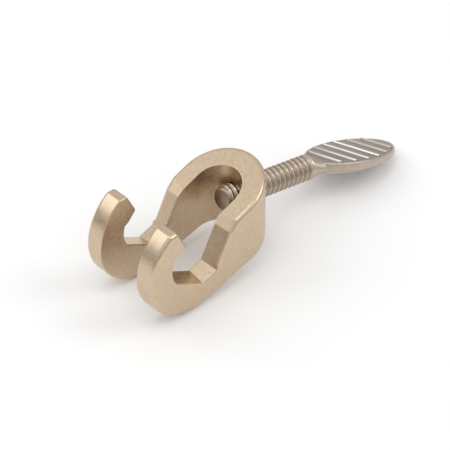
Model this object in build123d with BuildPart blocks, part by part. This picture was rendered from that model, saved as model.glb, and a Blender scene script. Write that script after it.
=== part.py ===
"""Hook connector boss head for two crossed lab rods.

A one-piece cast body goes round the upright rod like a strap. Its two arms end in
upturned hooks that hold the cross rod, and one thumb screw through the round back
pushes the upright rod against the cross rod.

Millimetres. X runs along the cross rod, Z along the upright rod, and +Y points from
the hooks towards the thumb screw. The origin is on the cross rod's axis, midway
between the hooks.
"""
import os
from math import cos, hypot, radians, sin, sqrt, tan

from build123d import *

# Rods that the clamp joins, and the room they are given
rod_diameter = 12.7
slot_clearance = 0.4
notch_clearance = 0.9

# Strap round the upright rod, seen from above
arm_thickness = 5.45
back_thickness = 6.2
slot_depth = 17.6

# Strap seen from the side: its sloping top and bottom faces and its front jaw
top_offset = -1.06
top_slope = 20.0
bottom_slope = 12.6
jaw_reach = 11.4
jaw_slope = 62.0
jaw_foot_height = 1.5
lip_bevel = 1.4
lip_slope = 45.0

# Hooks seen from the side
hook_reach = 15.4
hook_drop = 1.8
hook_radius = 14.6
finger_radius = 16.26
tip_height = 11.7
tip_width = 2.303
nose_angle = 137.0
nose_rise = 2.2
nose_drop = 0.9
undercut_slope = 25.0
toe_angle = 212.0
toe_slope = 30.0
floor_front = 1.9
floor_slope = 17.0

# Draft of the casting: the gap over the cross rod widens from each arm's inner face outwards
draft = 8.5

# Rounding of the casting
outer_fillet = 1.2
tip_fillet = 0.9
edge_fillet = 0.4

# Thumb screw: its lengths are measured along its own axis from its tip
screw_tilt = 12.54
screw_aim_height = 0.35
thread_diameter = 7.1
thread_clearance = 0.05
seat_clearance = 0.05
tip_chamfer = 0.9
thread_length = 31.4
thread_pitch = 1.74
thread_depth = 0.55
groove_width = 1.2

# Neck between the thread and the paddle
neck_diameter = 6.6
neck_length = 5.6
neck_end_width = 9.6
neck_end_depth = 3.0
shoulder_length = 1.9

# Paddle
paddle_turn = 14.4
paddle_gap = 2.2
paddle_length = 30.5
paddle_width = 18.6
paddle_near_top = 1.35
paddle_far_top = -1.15
paddle_near_thickness = 3.4
paddle_far_thickness = 1.4
paddle_fillet = 0.5

# Ribs across both faces of the paddle
rib_count = 6
rib_first = 5.4
rib_pitch = 4.2
rib_width = 1.1
rib_crest = 0.4
rib_height = 0.45
rib_margin = 0.8

# Worked out from the sizes above
rod_radius = rod_diameter / 2
slot_half = rod_radius + slot_clearance
outer_half = slot_half + arm_thickness
notch_radius = rod_radius + notch_clearance
outer_back = slot_depth + slot_half + back_thickness
outer_centre = outer_back - outer_half
thread_radius = thread_diameter / 2
tip_radius = thread_radius - tip_chamfer
groove_count = int((thread_length - tip_chamfer) / thread_pitch)
paddle_start = thread_length + paddle_gap
paddle_end = paddle_start + paddle_length


def top_z(y):
    """Height of the strap's sloping top face."""
    return top_offset + y * tan(radians(top_slope))


def polar(radius, angle):
    """Point at an angle round the cross rod, as seen from the side."""
    return (radius * cos(radians(angle)), radius * sin(radians(angle)))


def meet(a, a_slope, b, b_slope):
    """Point where two sloping lines of the side view meet."""
    ta = tan(radians(a_slope))
    tb = tan(radians(b_slope))
    y = (b[1] - a[1] + ta * a[0] - tb * b[0]) / (ta - tb)
    return (y, a[1] + ta * (y - a[0]))


def along(point, slope, distance):
    """Point at a distance along a sloping line of the side view."""
    turn = radians(slope)
    return (point[0] + distance * cos(turn), point[1] + distance * sin(turn))


# Side view of the body: named corners of its outline
finger_centre = (finger_radius - hook_reach, -hook_drop)
hook_centre = (hook_radius - hook_reach, -hook_drop)
tip_rise = tip_height - finger_centre[1]
tip_front = (finger_centre[0] - sqrt(finger_radius**2 - tip_rise**2), tip_height)
tip_inner = (tip_front[0] + tip_width, tip_height)
seat = polar(rod_radius, nose_angle)
along_nose = (sin(radians(nose_angle)), -cos(radians(nose_angle)))
nose = (seat[0] - nose_drop * along_nose[0], seat[1] - nose_drop * along_nose[1])
nose_top = (seat[0] + nose_rise * along_nose[0], seat[1] + nose_rise * along_nose[1])
hook_front = (-hook_reach, -hook_drop)
hook_bottom = (
    hook_centre[0] + hook_radius * sin(radians(bottom_slope)),
    hook_centre[1] - hook_radius * cos(radians(bottom_slope)),
)
past_back = outer_back + back_thickness
back_bottom = (past_back, hook_bottom[1] + (past_back - hook_bottom[0]) * tan(radians(bottom_slope)))
back_top = (past_back, top_z(past_back))

# Gap between the jaws and the hooks, at the arms' inner faces
lip = (jaw_reach, top_z(jaw_reach))
lip_front = along(lip, jaw_slope, -lip_bevel)
toe = polar(notch_radius, toe_angle)
floor_start = (floor_front, toe[1] - (floor_front - toe[0]) * tan(radians(toe_slope)))
floor_end = meet(floor_start, floor_slope, lip, jaw_slope)
jaw_foot = along(floor_end, jaw_slope, jaw_foot_height)
under_cos = cos(radians(undercut_slope))
under_sin = sin(radians(undercut_slope))
undercut_run = nose[0] * under_cos + nose[1] * under_sin
undercut_length = undercut_run + sqrt(undercut_run**2 + notch_radius**2 - nose[0] ** 2 - nose[1] ** 2)
undercut = along(nose, undercut_slope, -undercut_length)
clear_top = tip_height + hook_radius
lip_clear = meet(lip_front, lip_slope, (0, clear_top), 0)

# Lowest and highest levels that the body reaches
body_bottom = -hook_drop - hook_radius
body_top = max(tip_height, top_z(outer_back))

# Thumb screw frame: its axis slopes down to the back, and its tip meets the upright rod
screw_axis = Vector(0, cos(radians(screw_tilt)), -sin(radians(screw_tilt)))
screw_up = Vector(0, sin(radians(screw_tilt)), cos(radians(screw_tilt)))
tip_y = rod_diameter + rod_radius + tip_radius * sin(radians(screw_tilt)) + seat_clearance
tip_z = screw_aim_height - (tip_y - rod_diameter - rod_radius) * tan(radians(screw_tilt))
screw_tip = Vector(0, tip_y, tip_z)
paddle_across = Vector(1, 0, 0) * cos(radians(paddle_turn)) + screw_up * sin(radians(paddle_turn))
paddle_normal = screw_up * cos(radians(paddle_turn)) - Vector(1, 0, 0) * sin(radians(paddle_turn))
section_plane = Plane(origin=screw_tip, x_dir=paddle_across, z_dir=screw_axis)
face_plane = Plane(origin=screw_tip, x_dir=screw_axis, z_dir=paddle_normal)
edge_plane = Plane(origin=screw_tip, x_dir=screw_axis, z_dir=paddle_across)


def paddle_top(s):
    """Height of the paddle's upper face above the screw's axis."""
    return paddle_near_top + (paddle_far_top - paddle_near_top) * (s - paddle_start) / paddle_length


def paddle_bottom(s):
    """Height of the paddle's lower face."""
    change = paddle_far_thickness - paddle_near_thickness
    thickness = paddle_near_thickness + change * (s - paddle_start) / paddle_length
    return paddle_top(s) - thickness


def round_corner(sketch, point, radius):
    """Rounds the corner of a sketch that lies at a point."""
    fillet(sketch.vertices().sort_by_distance((point[0], point[1], 0))[0], radius)


def is_outline(edge):
    """Whether an edge lies on the outside of the body, away from the gap that is still filled."""
    spot = edge.center()
    outside = abs(spot.X) > outer_half - 0.1 or spot.Y > outer_back - 0.1
    in_gap = spot.Z < nose[1] and hypot(spot.Y, spot.Z) < notch_radius + jaw_foot_height / 2
    return outside and not in_gap


def is_rounded(edge):
    """Whether an edge of the gap gets rounded: on the arms' inner faces and low on their outer ones."""
    spot = edge.center()
    on_inner_face = abs(abs(spot.X) - slot_half) < 0.01
    on_lower_outside = abs(spot.X) > outer_half - 0.01 and spot.Z < 0 and spot.Y < floor_end[0]
    on_lip = spot.Y > lip_front[0]
    under_nose = spot.Y < nose[0] and spot.Z > 0
    return (on_inner_face or on_lower_outside) and not on_lip and not under_nose


def is_at(edge, spots):
    """Whether an edge's centre lies at one of some spots."""
    return any((edge.center() - spot).length < 0.01 for spot in spots)


with BuildPart() as clamp_body:
    # Strap and arms seen from above
    with BuildSketch(Plane.XY.offset(body_bottom)):
        with Locations((0, outer_centre)):
            Circle(outer_half)
            Rectangle(2 * outer_half, outer_centre + hook_reach, align=(Align.CENTER, Align.MAX))
    extrude(amount=body_top - body_bottom)

    # Outline seen from the side, with the gap over the cross rod still filled
    with BuildSketch(Plane.YZ) as side:
        with BuildLine():
            RadiusArc(tip_front, hook_front, -finger_radius)
            RadiusArc(hook_front, hook_bottom, -hook_radius)
            Polyline(hook_bottom, back_bottom, back_top, (0, top_z(0)), nose, nose_top, tip_inner, tip_front)
        make_face()
        round_corner(side, nose_top, tip_fillet)
        round_corner(side, tip_inner, tip_fillet)
        round_corner(side, tip_front, tip_fillet)
    extrude(amount=outer_half, both=True, mode=Mode.INTERSECT)

    # Jaws, drafted outwards from each arm's inner face
    with BuildPart(mode=Mode.PRIVATE) as jaw:
        with BuildSketch(Plane.YZ.offset(slot_half)):
            with BuildLine():
                Polyline((0, floor_end[1] / 2), (0, clear_top), lip_clear, lip_front, jaw_foot, close=True)
            make_face()
        extrude(amount=2 * arm_thickness, taper=-draft)
    add([jaw.part, mirror(jaw.part, about=Plane.YZ)], mode=Mode.SUBTRACT)

    # Cast rounding along the whole outline and the jaws, but not along the filled gap
    outline = clamp_body.edges().filter_by(is_outline)
    fillet(outline, outer_fillet)

    # Slot for the upright rod
    with BuildSketch(Plane.XY.offset(body_bottom)):
        with Locations((0, slot_depth)):
            Circle(slot_half)
            Rectangle(2 * slot_half, slot_depth + hook_reach, align=(Align.CENTER, Align.MAX))
    extrude(amount=body_top - body_bottom, mode=Mode.SUBTRACT)

    # Notches that hold the cross rod, drafted in the same way
    with BuildPart(mode=Mode.PRIVATE) as notch:
        with BuildSketch(Plane.YZ.offset(slot_half)):
            with BuildLine():
                Polyline(nose, (0, nose[1]), jaw_foot, floor_end, floor_start, toe)
                RadiusArc(toe, undercut, notch_radius)
                Line(undercut, nose)
            make_face()
        extrude(amount=2 * arm_thickness, taper=-draft)
    add([notch.part, mirror(notch.part, about=Plane.YZ)], mode=Mode.SUBTRACT)

    # Light rounding of the edges that were cut, found on one arm and matched on the other
    spots = [edge.center() for edge in clamp_body.edges(Select.LAST).filter_by(is_rounded)]
    spots += [Vector(-spot.X, spot.Y, spot.Z) for spot in spots]
    fillet(clamp_body.edges().filter_by(lambda edge: is_at(edge, spots)), edge_fillet)

    # Hole for the thumb screw through the back
    with BuildSketch(section_plane):
        Circle(thread_radius + thread_clearance)
    extrude(amount=thread_length, mode=Mode.SUBTRACT)

clamp_body.part.label = "clamp_body"


with BuildPart() as thumb_screw:
    # Paddle: an oval seen from above, a tapering plate seen from the edge
    with BuildSketch(face_plane):
        with Locations((paddle_start + paddle_length / 2, 0)):
            Ellipse(paddle_length / 2, paddle_width / 2)
    extrude(amount=thread_diameter, both=True)
    with BuildSketch(edge_plane):
        with BuildLine():
            Polyline(
                (paddle_start, paddle_top(paddle_start)),
                (paddle_end, paddle_top(paddle_end)),
                (paddle_end, paddle_bottom(paddle_end)),
                (paddle_start, paddle_bottom(paddle_start)),
                close=True,
            )
        make_face()
    extrude(amount=paddle_width, both=True, mode=Mode.INTERSECT)
    fillet(thumb_screw.edges(), paddle_fillet)

    # Neck: round at the thread, flat where it runs into the paddle
    neck_end = thread_length + neck_length
    neck_level = (paddle_top(neck_end) + paddle_bottom(neck_end)) / 2
    with BuildSketch(section_plane.offset(thread_length)):
        Circle(neck_diameter / 2)
    with BuildSketch(section_plane.offset(neck_end)):
        with Locations((0, -neck_level)):
            Ellipse(neck_end_width / 2, neck_end_depth / 2)
    loft()
    with BuildSketch(edge_plane):
        with BuildLine():
            Polyline(
                (paddle_start - shoulder_length, neck_diameter),
                (paddle_start - shoulder_length, neck_diameter / 2),
                (paddle_start, paddle_top(paddle_start)),
                (paddle_end, paddle_top(paddle_end)),
                (paddle_end, neck_diameter),
                close=True,
            )
        make_face()
    extrude(amount=paddle_width, both=True, mode=Mode.SUBTRACT)

    # Threaded shank with a chamfered tip
    with BuildSketch(section_plane):
        Circle(thread_radius)
    extrude(amount=thread_length)
    tip_edge = thumb_screw.edges().sort_by(Axis(screw_tip, screw_axis))[0]
    chamfer(tip_edge, tip_chamfer)

    # Ring grooves along the shank in place of its thread
    with BuildSketch(edge_plane):
        for i in range(groove_count):
            middle = tip_chamfer + (i + 0.5) * thread_pitch
            with BuildLine():
                Polyline(
                    (middle - groove_width, thread_radius + thread_depth),
                    (middle + groove_width, thread_radius + thread_depth),
                    (middle, thread_radius - thread_depth),
                    close=True,
                )
            make_face()
    revolve(axis=Axis(screw_tip, screw_axis), mode=Mode.SUBTRACT)

    # Ribs across both faces of the paddle, kept back from its rim
    with BuildPart(mode=Mode.PRIVATE) as ribs:
        with BuildSketch(edge_plane):
            for i in range(rib_count):
                for level, side_of in ((paddle_top, 1), (paddle_bottom, -1)):
                    middle = paddle_start + rib_first + i * rib_pitch
                    foot = level(middle) - side_of * rib_height
                    crest = level(middle) + side_of * rib_height
                    with BuildLine():
                        Polyline(
                            (middle - rib_width / 2, foot),
                            (middle - rib_crest / 2, crest),
                            (middle + rib_crest / 2, crest),
                            (middle + rib_width / 2, foot),
                            close=True,
                        )
                    make_face()
        extrude(amount=paddle_width, both=True)
        with BuildSketch(face_plane):
            with Locations((paddle_start + paddle_length / 2, 0)):
                Ellipse(paddle_length / 2 - rib_margin, paddle_width / 2 - rib_margin)
        extrude(amount=thread_diameter, both=True, mode=Mode.INTERSECT)
    add(ribs.part)

thumb_screw.part.label = "thumb_screw"

os.makedirs("parts", exist_ok=True)
export_step(clamp_body.part, "parts/clamp_body.step")
export_step(thumb_screw.part, "parts/thumb_screw.step")
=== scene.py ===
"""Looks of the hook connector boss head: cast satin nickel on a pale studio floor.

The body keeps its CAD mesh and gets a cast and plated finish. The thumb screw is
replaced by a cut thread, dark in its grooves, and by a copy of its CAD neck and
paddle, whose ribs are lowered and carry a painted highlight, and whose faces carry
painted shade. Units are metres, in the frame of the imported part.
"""
from math import cos, radians, sin, tau

import bmesh
import bpy
from mathutils import Matrix, Vector


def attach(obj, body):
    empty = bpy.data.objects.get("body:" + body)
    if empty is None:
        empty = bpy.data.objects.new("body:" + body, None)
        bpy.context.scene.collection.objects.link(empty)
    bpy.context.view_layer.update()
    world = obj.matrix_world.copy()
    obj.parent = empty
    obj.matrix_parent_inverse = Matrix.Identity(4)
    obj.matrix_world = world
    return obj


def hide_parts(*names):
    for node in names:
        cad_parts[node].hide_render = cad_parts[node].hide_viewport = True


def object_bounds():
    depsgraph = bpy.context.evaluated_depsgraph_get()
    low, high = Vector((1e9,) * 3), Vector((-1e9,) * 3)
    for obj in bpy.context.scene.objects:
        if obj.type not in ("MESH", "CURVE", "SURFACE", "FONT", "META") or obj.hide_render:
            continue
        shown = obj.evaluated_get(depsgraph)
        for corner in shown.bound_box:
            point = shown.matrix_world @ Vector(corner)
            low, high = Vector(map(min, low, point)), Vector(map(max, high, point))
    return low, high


MM = 0.001

# Thumb screw, with the sizes of the CAD model
SCREW_TILT = radians(12.54)
SCREW_TIP = Vector((0, 19.6754, 0.2109)) * MM
PADDLE_TURN = radians(14.4)
THREAD_LENGTH = 31.4 * MM
THREAD_RADIUS = 3.55 * MM
THREAD_PITCH = 1.74 * MM
THREAD_DEPTH = 0.55 * MM
TIP_CHAMFER = 0.9 * MM
PADDLE_START = 33.6 * MM
PADDLE_LENGTH = 30.5 * MM
PADDLE_NEAR_TOP = 1.35 * MM
PADDLE_FAR_TOP = -1.15 * MM
PADDLE_NEAR_THICKNESS = 3.4 * MM
PADDLE_FAR_THICKNESS = 1.4 * MM
RIB_COUNT = 6
RIB_FIRST = 5.4 * MM
RIB_PITCH = 4.2 * MM

# Axis of the screw, the direction across its paddle and the normal of its paddle
SIDEWAYS = Vector((1, 0, 0))
SCREW_UP = Vector((0, sin(SCREW_TILT), cos(SCREW_TILT)))
SCREW_AXIS = Vector((0, cos(SCREW_TILT), -sin(SCREW_TILT)))
PADDLE_ACROSS = SIDEWAYS * cos(PADDLE_TURN) + SCREW_UP * sin(PADDLE_TURN)
PADDLE_NORMAL = SCREW_UP * cos(PADDLE_TURN) - SIDEWAYS * sin(PADDLE_TURN)

# Cut thread: a right-hand helix that runs out at the neck. A crest power below one
# makes its crests narrow.
THREAD_RUN_OUT = 1.6 * MM
CREST_POWER = 0.6
STEPS_ROUND = 72
STEPS_PER_PITCH = 14
THREAD_SHARP_ANGLE = radians(50)

# Neck and paddle, cut from the CAD mesh just beyond the shank's end
WELD_DISTANCE = 0.001 * MM
SHANK_MARGIN = 0.01 * MM
RIB_HEIGHT_KEPT = 0.6
HANDLE_SHARP_ANGLE = radians(30)

# Noise patterns: features in a metre, detail and roughness
CLOUDS = (800.0, 4.0, 0.65)
SPECKS = (3400.0, 2.0, 0.6)
DIMPLES = (900.0, 2.0, 0.5)
GRAIN = (3600.0, 3.0, 0.6)
FLOOR_PATCHES = (6.0, 3.0, 0.5)

# Noise levels between which the clouds and the floor's patches change, and the specks
CLOUDS_FROM, CLOUDS_TO = 0.3, 0.7
SPECKS_FROM, SPECKS_TO = 0.5, 0.8

# Metal: the share of it that reflects as bare metal, the strength of its specks, how its
# roughness follows the clouds and the wear, and the depth of its bumps
METALLIC = 0.96
SPECKS_SHARE = 0.3
ROUGHNESS_BELOW = 0.05
ROUGHNESS_ABOVE = 0.07
WORN_SMOOTHER = 0.12
DIMPLE_DEPTH = 0.15 * MM
GRAIN_DEPTH = 0.05 * MM

# Worn edges: the rounding they are found by, and how far the rounded normal agrees with
# the true one where the wear is full and where it ends
WEAR_RADIUS = 0.35 * MM
WEAR_SAMPLES = 6
WEAR_FULL = 0.8
WEAR_END = 0.985

# Grooves of the thread: shares of its depth where their tone starts and is full
GROOVE_START = 0.04
GROOVE_FULL = 0.5

# Faces of the paddle: ovals of painted shade that fades in beyond the neck, and out at the rim
FACE_HALF_LENGTH = 14.9 * MM
FACE_HALF_WIDTH = 8.95 * MM
FACE_FADE = 0.6 * MM
FACE_RIM = 0.97

# Painted highlight on the ribs: a bright band along each that fades into the face and ends short
# of the rim
RIB_HIGHLIGHT_HALF = 0.28 * MM
RIB_FADE = 0.3 * MM
RIB_MARGIN = 0.05

# Floor
FLOOR_GAP = 0.2 * MM
FLOOR_SIZE = 6.0
FLOOR_DARKER = 0.92
FLOOR_LIGHTER = 0.94
FLOOR_ROUGHNESS = 0.9
FLOOR_SPECULAR = 0.1
SEEN_FLOOR_LIFT = 0.04

# Sky, from the horizon up: (height, grey)
SKY = [(0.0, 0.4), (0.14, 0.42), (0.42, 0.94), (0.8, 1.0)]
SKY_STRENGTH = 0.84

# Lamps: name, place, size and power in watts
LAMP_TARGET = Vector((0, 0.01, 0))
LAMPS = [
    ("key", Vector((0.9, 0.9, 1.2)), 0.8, 4.5),
    ("fill", Vector((-0.9, -0.6, 0.9)), 0.9, 2.8),
    ("top", Vector((0.05, -0.3, 1.3)), 0.6, 2.0),
]

# Camera of the photograph: its place, the directions of its own axes, and its lens
CAMERA_PLACE = Vector((0.274854, -0.236959, 0.320684))
CAMERA_RIGHT = Vector((0.68564399, 0.72793293, -0.00244415))
CAMERA_UP = Vector((-0.47794444, 0.45270594, 0.75274594))
CAMERA_BACK = Vector((0.54905503, -0.51494756, 0.6583066))
PHOTO_SIZE = 450
FOCAL_PIXELS = 1934.0779
CENTRE_X = 225.0
CENTRE_Y = 224.0
SENSOR_WIDTH = 36.0
CLIP_START = 0.01
CLIP_END = 20.0

# Sockets of the colour mix node, which has others of the same names
MIX_INPUTS = (0, 6, 7)
MIX_RESULT = 2


def node(tree, kind, **values):
    """Adds a shader node, and sets each named attribute of it, or else the input of that name."""
    made = tree.nodes.new(kind)
    for name, value in values.items():
        if hasattr(made, name):
            setattr(made, name, value)
        else:
            made.inputs[name.replace("_", " ")].default_value = value
    return made


def ramp(tree, source, stops):
    """Colour ramp over a source, given as (position, colour or grey) stops."""
    made = node(tree, "ShaderNodeValToRGB")
    elements = made.color_ramp.elements
    while len(elements) < len(stops):
        elements.new(0.5)
    for element, (position, colour) in zip(elements, stops):
        element.position = position
        grey = not isinstance(colour, tuple)
        element.color = (colour, colour, colour, 1) if grey else (*colour, 1)
    tree.links.new(source, made.inputs["Fac"])
    return made.outputs["Color"]


def noise(tree, place, scale, detail, roughness):
    """Noise over the object's own coordinates, with features of about one over the scale."""
    made = node(tree, "ShaderNodeTexNoise", Scale=scale, Detail=detail, Roughness=roughness)
    tree.links.new(place, made.inputs["Vector"])
    return made.outputs["Fac"]


def mix(tree, amount, first, second):
    """Mixes two colours by an amount. Each may be a socket, and the amount a number."""
    made = node(tree, "ShaderNodeMix", data_type="RGBA")
    sockets = [made.inputs[index] for index in MIX_INPUTS]
    for socket, value in zip(sockets, (amount, first, second)):
        if isinstance(value, bpy.types.NodeSocket):
            tree.links.new(value, socket)
        elif isinstance(value, tuple):
            socket.default_value = (*value, 1)
        else:
            socket.default_value = value
    return made.outputs[MIX_RESULT]


def number(tree, kind, first, second=0.0):
    """Maths on sockets or numbers."""
    made = node(tree, "ShaderNodeMath", operation=kind)
    for socket, value in zip(made.inputs, (first, second)):
        if isinstance(value, bpy.types.NodeSocket):
            tree.links.new(value, socket)
        else:
            socket.default_value = value
    return made.outputs[0]


def reach(tree, place, direction):
    """Distance of a place from the screw's tip along a direction."""
    made = node(tree, "ShaderNodeVectorMath", operation="DOT_PRODUCT")
    tree.links.new(place, made.inputs[0])
    made.inputs[1].default_value = direction
    return number(tree, "SUBTRACT", made.outputs["Value"], SCREW_TIP.dot(direction))


def length(tree, first, second):
    """Length of the vector with these two parts."""
    squares = [number(tree, "MULTIPLY", part, part) for part in (first, second)]
    return number(tree, "SQRT", number(tree, "ADD", *squares))


def seen(tree):
    """One for rays from the camera and those that metal or glass sends on, zero for others."""
    rays = node(tree, "ShaderNodeLightPath").outputs
    first = number(tree, "MAXIMUM", rays["Is Camera Ray"], rays["Is Glossy Ray"])
    return number(tree, "MAXIMUM", first, rays["Is Transmission Ray"])


def edge_wear(tree):
    """White along sharp outer and inner edges, where a rounded normal leaves the true one."""
    bevel = node(tree, "ShaderNodeBevel", samples=WEAR_SAMPLES, Radius=WEAR_RADIUS)
    geometry = node(tree, "ShaderNodeNewGeometry")
    dot = node(tree, "ShaderNodeVectorMath", operation="DOT_PRODUCT")
    tree.links.new(bevel.outputs["Normal"], dot.inputs[0])
    tree.links.new(geometry.outputs["Normal"], dot.inputs[1])
    return ramp(tree, dot.outputs["Value"], [(WEAR_FULL, 1.0), (WEAR_END, 0.0)])


def from_middle(tree, place):
    """How far out a place lies on the paddle's face: 0 in its middle and 1 at its rim."""
    middle = PADDLE_START + PADDLE_LENGTH / 2
    lengthwise = number(tree, "SUBTRACT", reach(tree, place, SCREW_AXIS), middle)
    lengthwise = number(tree, "DIVIDE", lengthwise, FACE_HALF_LENGTH)
    crosswise = number(tree, "DIVIDE", reach(tree, place, PADDLE_ACROSS), FACE_HALF_WIDTH)
    return length(tree, lengthwise, crosswise)


def paddle_face_shade(tree, place):
    """White on the paddle's faces, but not on its rim or the neck; it marks where shade is
    painted, the faces darker than the rim.
    """
    along = number(tree, "SUBTRACT", reach(tree, place, SCREW_AXIS), PADDLE_START)
    begun = ramp(tree, along, [(0.0, 0.0), (FACE_FADE, 1.0)])
    inside = ramp(tree, from_middle(tree, place), [(FACE_RIM, 1.0), (1.0, 0.0)])
    return number(tree, "MULTIPLY", begun, inside)


def rib_highlight(tree, place):
    """White along the paddle's ribs, where a highlight is painted."""
    start = PADDLE_START + RIB_FIRST - RIB_PITCH / 2
    along = number(tree, "SUBTRACT", reach(tree, place, SCREW_AXIS), start)
    before_end = number(tree, "LESS_THAN", along, RIB_COUNT * RIB_PITCH)
    after_start = number(tree, "GREATER_THAN", along, 0.0)
    in_range = number(tree, "MULTIPLY", before_end, after_start)

    step = number(tree, "SUBTRACT", number(tree, "MODULO", along, RIB_PITCH), RIB_PITCH / 2)
    off_rib = number(tree, "DIVIDE", number(tree, "ABSOLUTE", step), RIB_PITCH)
    # Half width of the painted highlight, as a share of the rib pitch
    wear_and_highlight = RIB_HIGHLIGHT_HALF / RIB_PITCH
    band = ramp(tree, off_rib, [(wear_and_highlight, 1.0), (wear_and_highlight + RIB_FADE / RIB_PITCH, 0.0)])

    ends = [(FACE_RIM - RIB_MARGIN, 1.0), (1.0 - RIB_MARGIN, 0.0)]
    inside = ramp(tree, from_middle(tree, place), ends)
    return number(tree, "MULTIPLY", number(tree, "MULTIPLY", band, inside), in_range)


def thread_grooves(tree, place):
    """White in the thread's grooves and black on its crests."""
    crosswise = reach(tree, place, PADDLE_ACROSS)
    radius = length(tree, crosswise, reach(tree, place, PADDLE_NORMAL))
    depth = number(tree, "SUBTRACT", THREAD_RADIUS, radius)
    share = number(tree, "DIVIDE", depth, THREAD_DEPTH)
    return ramp(tree, share, [(GROOVE_START, 0.0), (GROOVE_FULL, 1.0)])


def metal(name, light, dark, wear_and_highlight, roughness, dimple, grain, marks=()):
    """Satin plated metal: clouded colour, worn edges, dimples of the casting and a fine grain.

    The marks are further tones, each given as a mask function and its colour where that is white.
    """
    made = bpy.data.materials.new(name)
    made.use_nodes = True
    tree = made.node_tree
    shader = tree.nodes["Principled BSDF"]
    place = node(tree, "ShaderNodeTexCoord").outputs["Object"]

    clouds = noise(tree, place, *CLOUDS)
    specks = noise(tree, place, *SPECKS)
    wear = edge_wear(tree)
    clouded = ramp(tree, clouds, [(CLOUDS_FROM, 0.0), (CLOUDS_TO, 1.0)])
    specked = ramp(tree, specks, [(SPECKS_FROM, 0.0), (SPECKS_TO, SPECKS_SHARE)])
    colour = mix(tree, clouded, dark, light)
    colour = mix(tree, specked, colour, dark)
    colour = mix(tree, wear, colour, wear_and_highlight)
    for mask, tone in marks:
        colour = mix(tree, mask(tree, place), colour, tone)
    tree.links.new(colour, shader.inputs["Base Color"])
    shader.inputs["Metallic"].default_value = METALLIC

    smoother, rougher = roughness - ROUGHNESS_BELOW, roughness + ROUGHNESS_ABOVE
    rough = ramp(tree, clouds, [(CLOUDS_FROM, smoother), (CLOUDS_TO, rougher)])
    rough = mix(tree, wear, rough, (roughness - WORN_SMOOTHER,) * 3)
    tree.links.new(rough, shader.inputs["Roughness"])

    bumps = node(tree, "ShaderNodeBump", Strength=dimple, Distance=DIMPLE_DEPTH)
    tree.links.new(noise(tree, place, *DIMPLES), bumps.inputs["Height"])
    fine = node(tree, "ShaderNodeBump", Strength=grain, Distance=GRAIN_DEPTH)
    tree.links.new(noise(tree, place, *GRAIN), fine.inputs["Height"])
    tree.links.new(bumps.outputs["Normal"], fine.inputs["Normal"])
    tree.links.new(fine.outputs["Normal"], shader.inputs["Normal"])
    return made


def floor_material():
    """Plain pale floor with a faint unevenness, a little brighter where it is seen."""
    made = bpy.data.materials.new("studio_floor")
    made.use_nodes = True
    tree = made.node_tree
    shader = tree.nodes["Principled BSDF"]
    place = node(tree, "ShaderNodeTexCoord").outputs["Object"]
    patches = noise(tree, place, *FLOOR_PATCHES)
    tint = ramp(tree, patches, [(CLOUDS_FROM, FLOOR_DARKER), (CLOUDS_TO, FLOOR_LIGHTER)])
    tree.links.new(tint, shader.inputs["Base Color"])
    shader.inputs["Roughness"].default_value = FLOOR_ROUGHNESS
    shader.inputs["Specular IOR Level"].default_value = FLOOR_SPECULAR
    shader.inputs["Emission Color"].default_value = (1, 1, 1, 1)
    lift = number(tree, "MULTIPLY", seen(tree), SEEN_FLOOR_LIFT)
    tree.links.new(lift, shader.inputs["Emission Strength"])
    return made


def add_piece(name, mesh, material, sharp_angle):
    """Adds a finished mesh as an object, smooth except at edges above an angle."""
    for face in mesh.faces:
        face.smooth = True
    data = bpy.data.meshes.new(name)
    mesh.to_mesh(data)
    mesh.free()
    data.set_sharp_from_angle(angle=sharp_angle)
    data.materials.append(material)
    piece = bpy.data.objects.new(name, data)
    bpy.context.scene.collection.objects.link(piece)
    return piece


def thread_radius(along, turn):
    """Radius of the threaded shank at a distance from its tip and an angle round it."""
    phase = tau * along / THREAD_PITCH - turn
    wave = (1 + cos(phase)) / 2
    depth = THREAD_DEPTH * wave**CREST_POWER
    fade = min(1.0, max(0.0, (THREAD_LENGTH - along) / THREAD_RUN_OUT))
    chamfer = max(0.0, TIP_CHAMFER - along)
    return THREAD_RADIUS - max(chamfer, depth * fade)


def build_thread(material):
    """Shank with its cut thread, closed at both ends."""
    steps = round(THREAD_LENGTH / THREAD_PITCH * STEPS_PER_PITCH)
    mesh = bmesh.new()
    rings = []
    for i in range(steps + 1):
        along = THREAD_LENGTH * i / steps
        middle = SCREW_TIP + SCREW_AXIS * along
        ring = []
        for j in range(STEPS_ROUND):
            turn = tau * j / STEPS_ROUND
            out = PADDLE_ACROSS * cos(turn) + PADDLE_NORMAL * sin(turn)
            ring.append(mesh.verts.new(middle + out * thread_radius(along, turn)))
        rings.append(ring)
    for near, far in zip(rings, rings[1:]):
        for j in range(STEPS_ROUND):
            k = (j + 1) % STEPS_ROUND
            mesh.faces.new((near[j], near[k], far[k], far[j]))
    mesh.faces.new(reversed(rings[0]))
    mesh.faces.new(rings[-1])
    bmesh.ops.recalc_face_normals(mesh, faces=mesh.faces)
    return add_piece("screw_thread", mesh, material, THREAD_SHARP_ANGLE)


def lower_rib(point):
    """Point of the paddle with its rib, if it is on one, brought down towards the face."""
    level = (point - SCREW_TIP).dot(PADDLE_NORMAL)
    along = (point - SCREW_TIP).dot(SCREW_AXIS) - PADDLE_START
    if along < RIB_FIRST / 2:
        return point
    share = along / PADDLE_LENGTH
    thickness = PADDLE_NEAR_THICKNESS + (PADDLE_FAR_THICKNESS - PADDLE_NEAR_THICKNESS) * share
    top = PADDLE_NEAR_TOP + (PADDLE_FAR_TOP - PADDLE_NEAR_TOP) * share
    bottom = top - thickness
    beyond = max(0, level - top) + min(0, level - bottom)
    return point - PADDLE_NORMAL * beyond * (1 - RIB_HEIGHT_KEPT)


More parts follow.
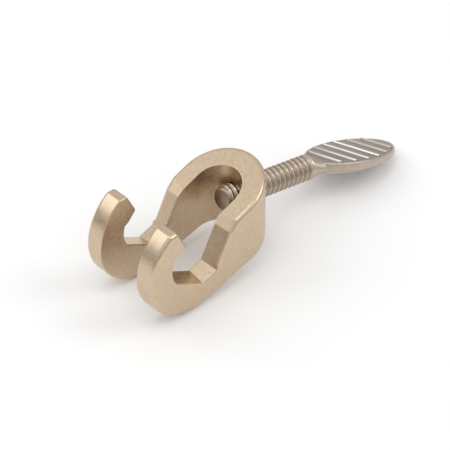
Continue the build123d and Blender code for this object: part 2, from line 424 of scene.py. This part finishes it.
def build_handle(cad_screw, material):
    """Neck and paddle: the CAD screw without its shank, and with lower ribs."""
    mesh = bmesh.new()
    mesh.from_mesh(cad_screw.data)
    bmesh.ops.remove_doubles(mesh, verts=mesh.verts, dist=WELD_DISTANCE)

    def on_shank(vertex):
        return (vertex.co - SCREW_TIP).dot(SCREW_AXIS) < THREAD_LENGTH + SHANK_MARGIN

    shank = [face for face in mesh.faces if all(on_shank(vertex) for vertex in face.verts)]
    bmesh.ops.delete(mesh, geom=shank, context="FACES")
    bmesh.ops.holes_fill(mesh, edges=[edge for edge in mesh.edges if edge.is_boundary])
    for vertex in mesh.verts:
        vertex.co = lower_rib(vertex.co)
    return add_piece("screw_handle", mesh, material, HANDLE_SHARP_ANGLE)


def build_floor(level):
    """Wide floor just under the part."""
    bpy.ops.mesh.primitive_plane_add(size=FLOOR_SIZE, location=(0, 0, level))
    floor = bpy.context.object
    floor.name = "floor"
    floor.data.materials.append(floor_material())


def build_lamp(name, place, size, power):
    """Soft square lamp that looks at the part."""
    data = bpy.data.lights.new(name, "AREA")
    data.size = size
    data.energy = power
    lamp = bpy.data.objects.new(name, data)
    lamp.location = place
    lamp.rotation_mode = "QUATERNION"
    lamp.rotation_quaternion = (LAMP_TARGET - place).to_track_quat("-Z", "Y")
    bpy.context.scene.collection.objects.link(lamp)


def build_world():
    """Soft sky, darker near the horizon, which draws lines along rounded edges."""
    world = bpy.data.worlds.new("studio")
    bpy.context.scene.world = world
    world.use_nodes = True
    tree = world.node_tree
    background = tree.nodes["Background"]
    split = node(tree, "ShaderNodeSeparateXYZ")
    tree.links.new(node(tree, "ShaderNodeTexCoord").outputs["Generated"], split.inputs[0])
    tree.links.new(ramp(tree, split.outputs["Z"], SKY), background.inputs["Color"])
    background.inputs["Strength"].default_value = SKY_STRENGTH


def build_camera():
    """Camera of the photograph."""
    data = bpy.data.cameras.new("camera")
    data.sensor_width = SENSOR_WIDTH
    data.lens = FOCAL_PIXELS / PHOTO_SIZE * SENSOR_WIDTH
    data.shift_x = (PHOTO_SIZE / 2 - CENTRE_X) / PHOTO_SIZE
    data.shift_y = (CENTRE_Y - PHOTO_SIZE / 2) / PHOTO_SIZE
    data.clip_start = CLIP_START
    data.clip_end = CLIP_END
    camera = bpy.data.objects.new("camera", data)
    turn = Matrix((CAMERA_RIGHT, CAMERA_UP, CAMERA_BACK)).transposed()
    camera.matrix_world = Matrix.Translation(CAMERA_PLACE) @ turn.to_4x4()
    bpy.context.scene.collection.objects.link(camera)
    bpy.context.scene.camera = camera


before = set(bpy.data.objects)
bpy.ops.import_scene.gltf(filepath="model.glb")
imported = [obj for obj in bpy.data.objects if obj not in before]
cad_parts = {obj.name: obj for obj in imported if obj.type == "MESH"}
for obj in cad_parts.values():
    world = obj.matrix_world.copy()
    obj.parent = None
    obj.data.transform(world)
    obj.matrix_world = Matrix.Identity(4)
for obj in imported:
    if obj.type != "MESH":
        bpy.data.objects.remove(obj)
cad_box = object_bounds()

body_metal = metal(
    "body_metal",
    light=(0.66, 0.52, 0.37),
    dark=(0.6, 0.47, 0.33),
    wear_and_highlight=(0.88, 0.79, 0.65),
    roughness=0.29,
    dimple=0.13,
    grain=0.28,
)
thread_metal = metal(
    "thread_metal",
    light=(0.7, 0.58, 0.465),
    dark=(0.54, 0.445, 0.36),
    wear_and_highlight=(0.84, 0.75, 0.64),
    roughness=0.34,
    dimple=0.2,
    grain=0.3,
    marks=[(thread_grooves, (0.35, 0.28, 0.215))],
)
handle_metal = metal(
    "handle_metal",
    light=(0.62, 0.525, 0.445),
    dark=(0.47, 0.395, 0.33),
    wear_and_highlight=(0.8, 0.72, 0.64),
    roughness=0.42,
    dimple=0.2,
    grain=0.3,
    # Marks: painted shade on the paddle's faces, and a painted highlight along its ribs
    marks=[(paddle_face_shade, (0.38, 0.335, 0.295)), (rib_highlight, (0.95, 0.9, 0.83))],
)

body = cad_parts["clamp_body"]
body.data.materials.clear()
body.data.materials.append(body_metal)

thread = build_thread(thread_metal)
handle = build_handle(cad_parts["thumb_screw"], handle_metal)
for piece in (thread, handle):
    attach(piece, "screw")
    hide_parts("thumb_screw")

build_floor(cad_box[0].z - FLOOR_GAP)
build_world()
for lamp in LAMPS:
    build_lamp(*lamp)
build_camera()
bpy.context.scene.view_settings.view_transform = "Standard"
